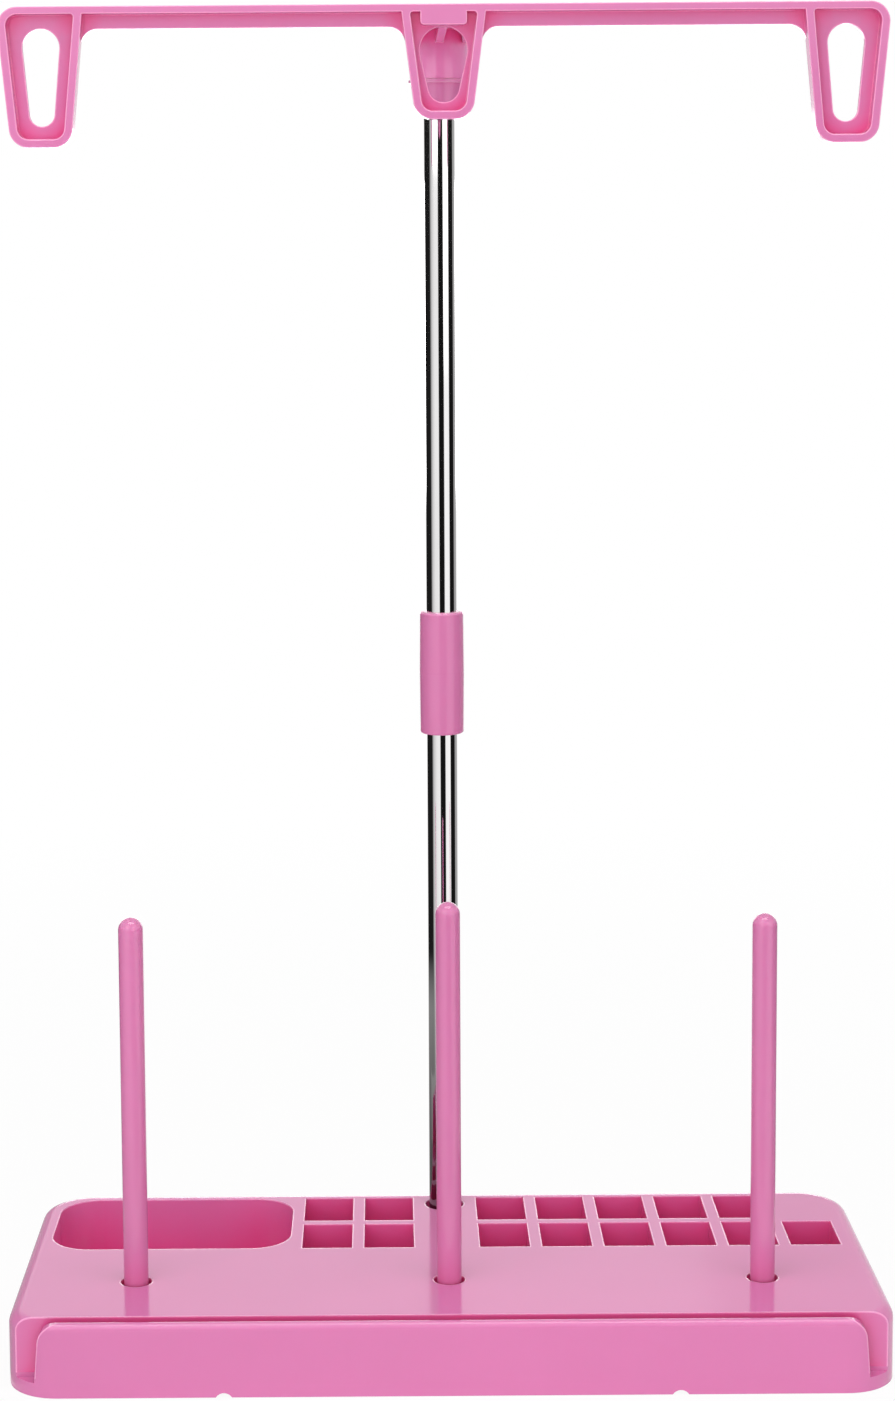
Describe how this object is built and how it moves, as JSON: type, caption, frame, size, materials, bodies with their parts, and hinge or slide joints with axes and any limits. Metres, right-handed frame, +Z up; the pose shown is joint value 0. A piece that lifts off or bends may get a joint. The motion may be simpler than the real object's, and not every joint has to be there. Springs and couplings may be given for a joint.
{
  "type": "thread rack",
  "caption": "Free-standing thread rack: a wide base with bin, cells and trough, upright spool pins, and a tube mast carrying a swivelling guide bar with eyelets.",
  "frame": {"origin": "centre of the base's outline at table level", "axes": "+Z up along the mast, +Y from the front trough to the mast at the back, +X to the right seen from the front"},
  "size_m": [0.32, 0.14, 0.4926],
  "materials": {
    "moulded_pink": "glossy moulded",
    "pin_pink": "glossy moulded",
    "chromed_tube": "polished"
  },
  "bodies": {
    "base": {"base_shell": "moulded_pink"},
    "left_pin": {"left_spool_pin": "pin_pink"},
    "centre_pin": {"centre_spool_pin": "pin_pink"},
    "right_pin": {"right_spool_pin": "pin_pink"},
    "mast_lower": {"lower_tube": "chromed_tube", "tube_coupler": "pin_pink"},
    "mast_upper": {"upper_tube": "chromed_tube", "swivel_bush": "pin_pink"},
    "guide_head": {"guide_arm": "moulded_pink", "guide_bar": "moulded_pink"}
  },
  "joints": [
    {"name": "left_pin_lift", "type": "slide", "parent": "base", "child": "left_pin", "axis": [0, 0, 1], "range_m": [0, 0.06]},
    {"name": "centre_pin_lift", "type": "slide", "parent": "base", "child": "centre_pin", "axis": [0, 0, 1], "range_m": [0, 0.06]},
    {"name": "right_pin_lift", "type": "slide", "parent": "base", "child": "right_pin", "axis": [0, 0, 1], "range_m": [0, 0.06]},
    {"name": "mast_lift", "type": "slide", "parent": "base", "child": "mast_lower", "axis": [0, 0, 1], "range_m": [0, 0.06]},
    {"name": "upper_tube_lift", "type": "slide", "parent": "mast_lower", "child": "mast_upper", "axis": [0, 0, 1], "range_m": [0, 0.06]},
    {"name": "guide_swivel", "type": "hinge", "parent": "mast_upper", "child": "guide_head", "pos_m": [0, 0.0559, 0.4712], "axis": [0, 0, 1], "continuous": true}
  ]
}
